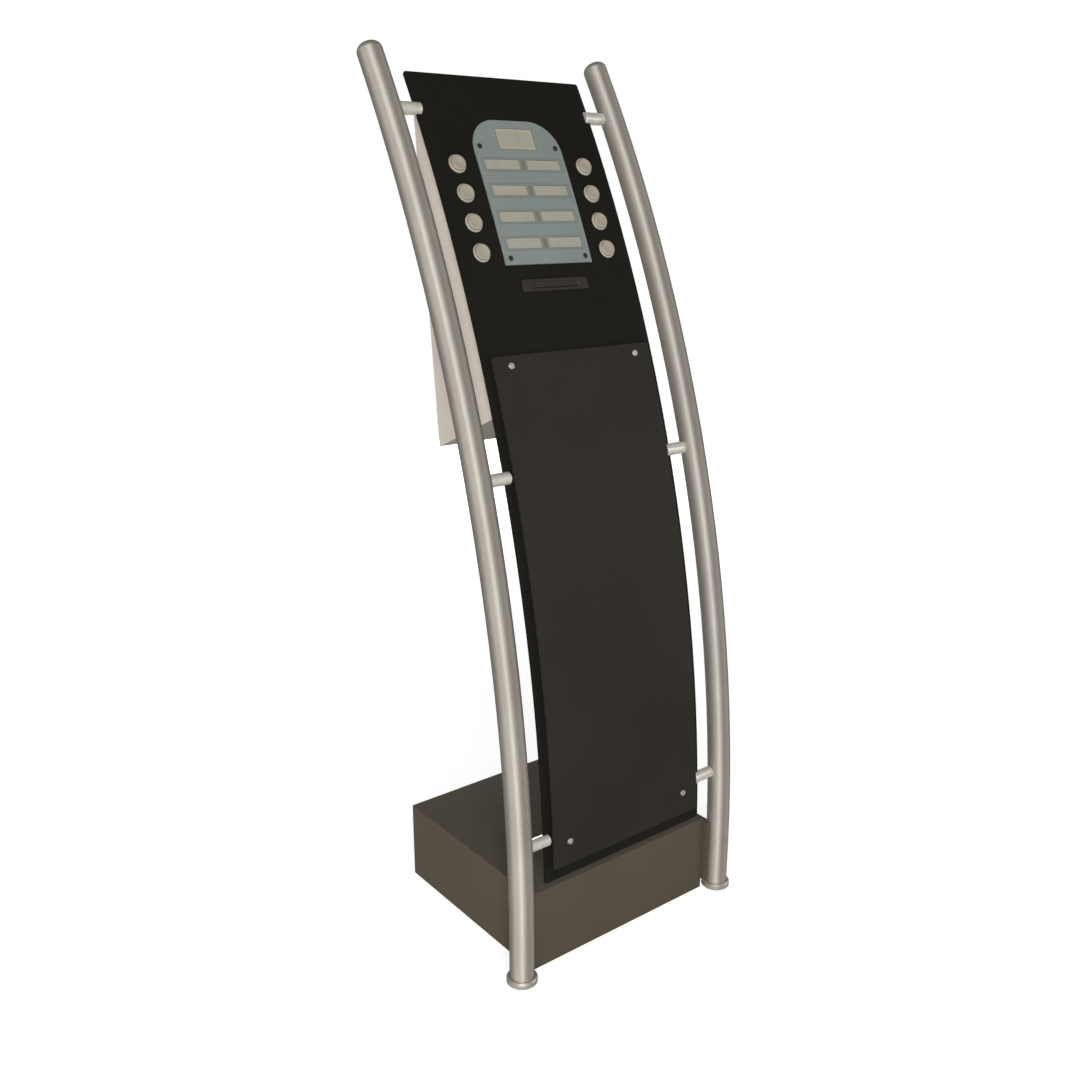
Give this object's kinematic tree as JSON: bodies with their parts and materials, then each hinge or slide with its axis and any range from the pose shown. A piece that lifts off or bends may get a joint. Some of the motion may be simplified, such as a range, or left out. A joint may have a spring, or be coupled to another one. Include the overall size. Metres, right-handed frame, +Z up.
{
  "type": "queue ticket kiosk",
  "caption": "Free-standing queue ticket kiosk: curved black panel between leaning silver rails on a weighted plinth, with push buttons, label plate, ticket slot and rear service housing.",
  "frame": {"origin": "centre of the base's footprint on the floor", "axes": "+X to the right of someone facing the kiosk, -Y out of its front, +Z up"},
  "size_m": [0.49, 0.4081, 1.419],
  "materials": {
    "rail_silver": "satin silver tube",
    "base_grey": "dark taupe powder coat",
    "ballast_steel": "raw plate",
    "panel_black": "satin black sheet",
    "overlay_grey": "dark grey acrylic sheet",
    "clamp_metal": "satin",
    "zinc_fasteners": "zinc plated",
    "dark_screws": "blackened",
    "plate_blue": "satin blue-grey",
    "card_paper": "matt card",
    "button_ivory": "ivory moulded",
    "black_plastic": "fine moulded grain",
    "housing_beige": "light beige powder coat",
    "lock_chrome": "polished",
    "printer_steel": "bright zinc",
    "platen_rubber": "ground black rubber",
    "gear_nylon": "natural nylon",
    "motor_black": "black can",
    "head_aluminium": "mill finish",
    "roll_paper": "thermal paper",
    "board_green": "solder resist"
  },
  "bodies": {
    "kiosk": {"base_floor_plate": "ballast_steel", "base_screws": "zinc_fasteners", "base_shell": "base_grey", "board_standoffs": "zinc_fasteners", "button_bodies": "button_ivory", "button_nuts": "black_plastic", "button_switches": "black_plastic", "clamp_grub_screws": "zinc_fasteners", "clamp_studs": "zinc_fasteners", "control_board": "board_green", "cutter_unit": "printer_steel", "front_panel": "panel_black", "header_card": "card_paper", "hinge_leaves_fixed": "zinc_fasteners", "hinge_pins": "zinc_fasteners", "housing_screws": "zinc_fasteners", "housing_shell": "housing_beige", "info_plate": "plate_blue", "info_plate_screws": "dark_screws", "label_cards": "card_paper", "overlay_caps": "clamp_metal", "overlay_nuts": "zinc_fasteners", "overlay_panel": "overlay_grey", "overlay_spacers": "clamp_metal", "panel_clamps": "clamp_metal", "paper_chute": "black_plastic", "paper_web": "roll_paper", "power_inlet": "black_plastic", "power_supply": "head_aluminium", "print_head": "head_aluminium", "printer_frame": "printer_steel", "rail_bolts": "zinc_fasteners", "rail_caps": "rail_silver", "rail_feet": "rail_silver", "rail_left": "rail_silver", "rail_lugs": "base_grey", "rail_right": "rail_silver", "roll_bracket": "zinc_fasteners", "stepper_motor": "motor_black", "ticket_bezel": "black_plastic"},
    "button_1": {"button_cap_1": "button_ivory"},
    "button_2": {"button_cap_2": "button_ivory"},
    "button_3": {"button_cap_3": "button_ivory"},
    "button_4": {"button_cap_4": "button_ivory"},
    "button_5": {"button_cap_5": "button_ivory"},
    "button_6": {"button_cap_6": "button_ivory"},
    "button_7": {"button_cap_7": "button_ivory"},
    "button_8": {"button_cap_8": "button_ivory"},
    "rear_door": {"rear_door": "housing_beige", "hinge_leaves_door": "zinc_fasteners", "lock_body": "lock_chrome", "lock_nut": "zinc_fasteners"},
    "door_lock": {"lock_plug": "lock_chrome", "lock_cam": "zinc_fasteners"},
    "paper_roll": {"paper_roll": "roll_paper", "roll_spindle": "gear_nylon"},
    "platen": {"platen_roller": "platen_rubber", "platen_gear": "gear_nylon"},
    "idler": {"idler_gear": "gear_nylon"},
    "pinion": {"motor_pinion": "gear_nylon"}
  },
  "joints": [
    {"name": "button_1_press", "type": "slide", "parent": "kiosk", "child": "button_1", "axis": [0, 0.8922, -0.4517], "range_m": [0, 0.0035], "stiffness_N_per_m": 600, "springref_m": -0.001},
    {"name": "button_2_press", "type": "slide", "parent": "kiosk", "child": "button_2", "axis": [0, 0.9004, -0.4351], "range_m": [0, 0.0035], "stiffness_N_per_m": 600, "springref_m": -0.001},
    {"name": "button_3_press", "type": "slide", "parent": "kiosk", "child": "button_3", "axis": [0, 0.9083, -0.4184], "range_m": [0, 0.0035], "stiffness_N_per_m": 600, "springref_m": -0.001},
    {"name": "button_4_press", "type": "slide", "parent": "kiosk", "child": "button_4", "axis": [0, 0.9158, -0.4015], "range_m": [0, 0.0035], "stiffness_N_per_m": 600, "springref_m": -0.001},
    {"name": "button_5_press", "type": "slide", "parent": "kiosk", "child": "button_5", "axis": [0, 0.8922, -0.4517], "range_m": [0, 0.0035], "stiffness_N_per_m": 600, "springref_m": -0.001},
    {"name": "button_6_press", "type": "slide", "parent": "kiosk", "child": "button_6", "axis": [0, 0.9004, -0.4351], "range_m": [0, 0.0035], "stiffness_N_per_m": 600, "springref_m": -0.001},
    {"name": "button_7_press", "type": "slide", "parent": "kiosk", "child": "button_7", "axis": [0, 0.9083, -0.4184], "range_m": [0, 0.0035], "stiffness_N_per_m": 600, "springref_m": -0.001},
    {"name": "button_8_press", "type": "slide", "parent": "kiosk", "child": "button_8", "axis": [0, 0.9158, -0.4015], "range_m": [0, 0.0035], "stiffness_N_per_m": 600, "springref_m": -0.001},
    {"name": "door_hinge", "type": "hinge", "parent": "kiosk", "child": "rear_door", "pos_m": [0.1528, 0.14895, 1.06878], "axis": [0, -0.0956, -0.9954], "range_deg": [0, 110]},
    {"name": "lock_turn", "type": "hinge", "parent": "rear_door", "child": "door_lock", "pos_m": [-0.116, 0.14248, 1.0694], "axis": [0, -0.9954, 0.0956], "range_deg": [0, 90]},
    {"name": "paper_roll_spin", "type": "hinge", "parent": "kiosk", "child": "paper_roll", "pos_m": [0, 0.01605, 0.91341], "axis": [1, 0, 0], "continuous": true},
    {"name": "platen_spin", "type": "hinge", "parent": "kiosk", "child": "platen", "pos_m": [0, 0.0545, 1.03786], "axis": [1, 0, 0], "continuous": true},
    {"name": "idler_spin", "type": "hinge", "parent": "kiosk", "child": "idler", "pos_m": [0, 0.06815, 1.0201], "axis": [1, 0, 0], "continuous": true},
    {"name": "pinion_spin", "type": "hinge", "parent": "kiosk", "child": "pinion", "pos_m": [0, 0.06173, 1.00457], "axis": [1, 0, 0], "continuous": true}
  ],
  "couplings": [
    {"joint": "idler_spin", "follows": "platen_spin", "ratio": -1.3333},
    {"joint": "pinion_spin", "follows": "platen_spin", "ratio": 1.7778}
  ]
}
